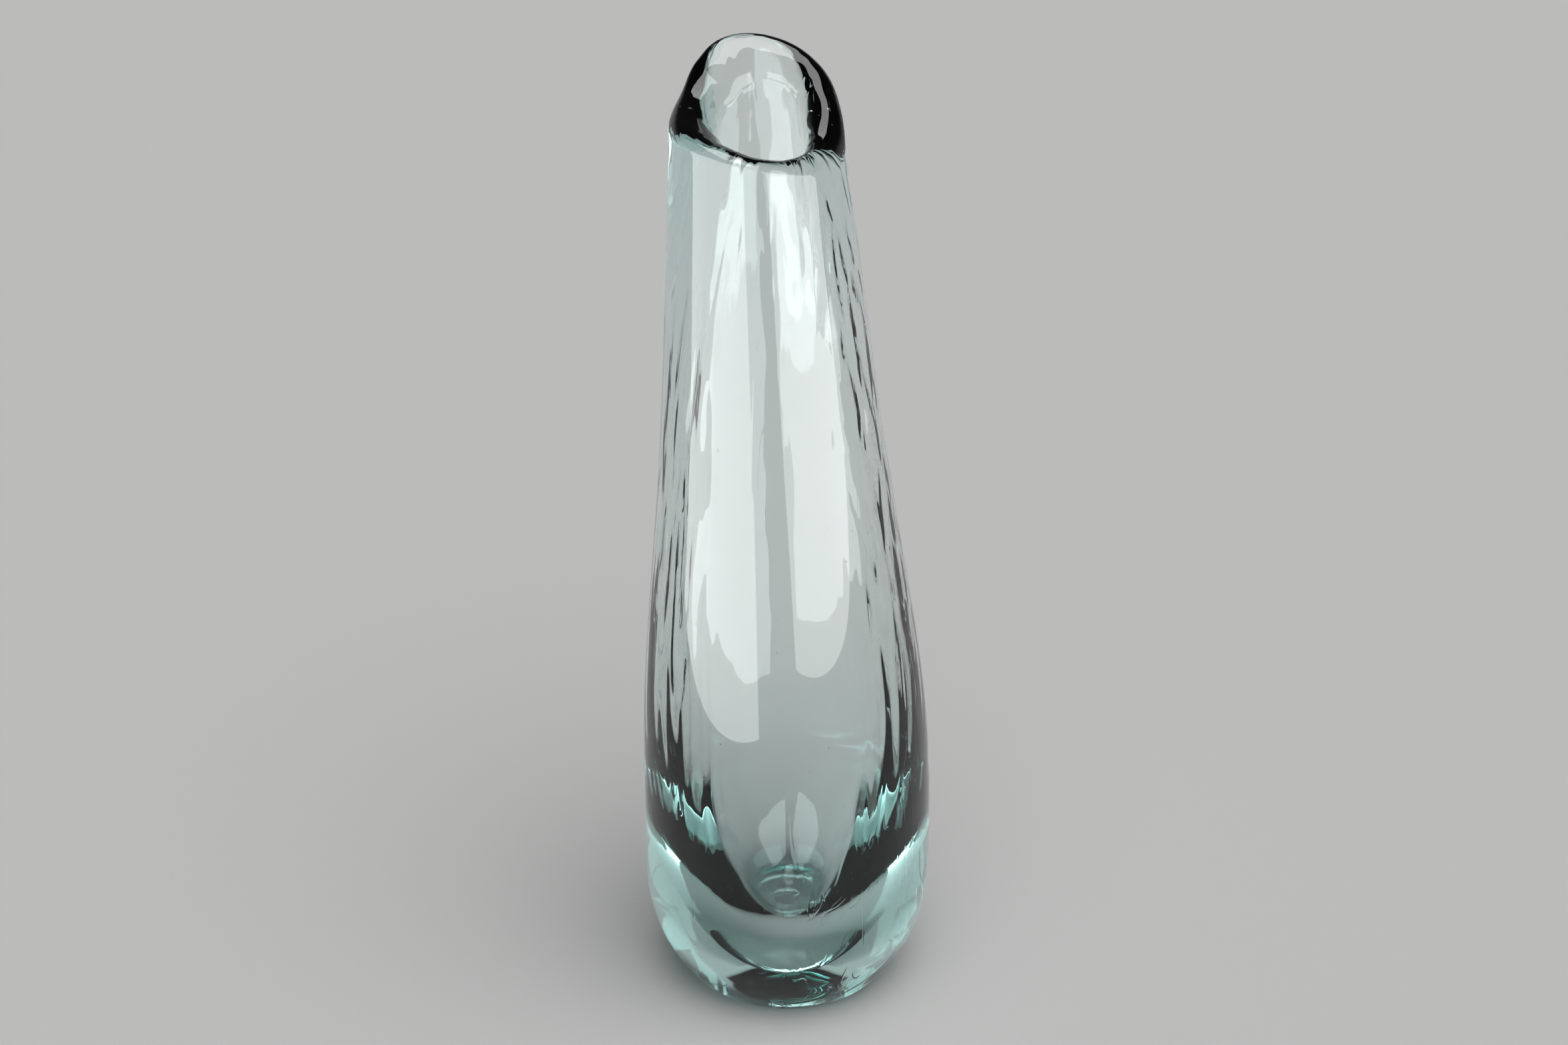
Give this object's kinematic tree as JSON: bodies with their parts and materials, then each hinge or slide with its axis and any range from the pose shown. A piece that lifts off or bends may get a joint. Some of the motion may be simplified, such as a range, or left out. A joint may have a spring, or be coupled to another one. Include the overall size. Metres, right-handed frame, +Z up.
{
  "type": "glass vase",
  "caption": "Tall heavy free-blown vase of pale aqua glass with a scooped lip, a neck that leans, a wide low belly and a solid base.",
  "frame": {"origin": "centre of the ground foot, on the surface that the vase stands on", "axes": "+Z up, +Y towards the side where the lip rises highest, +X away from the side that the neck leans to"},
  "size_m": [0.11, 0.11, 0.3777],
  "materials": {
    "aqua_glass": "clear pale aqua glass, fire-polished, with a ground foot"
  },
  "bodies": {
    "root": {"vase_body": "aqua_glass"}
  },
  "joints": []
}
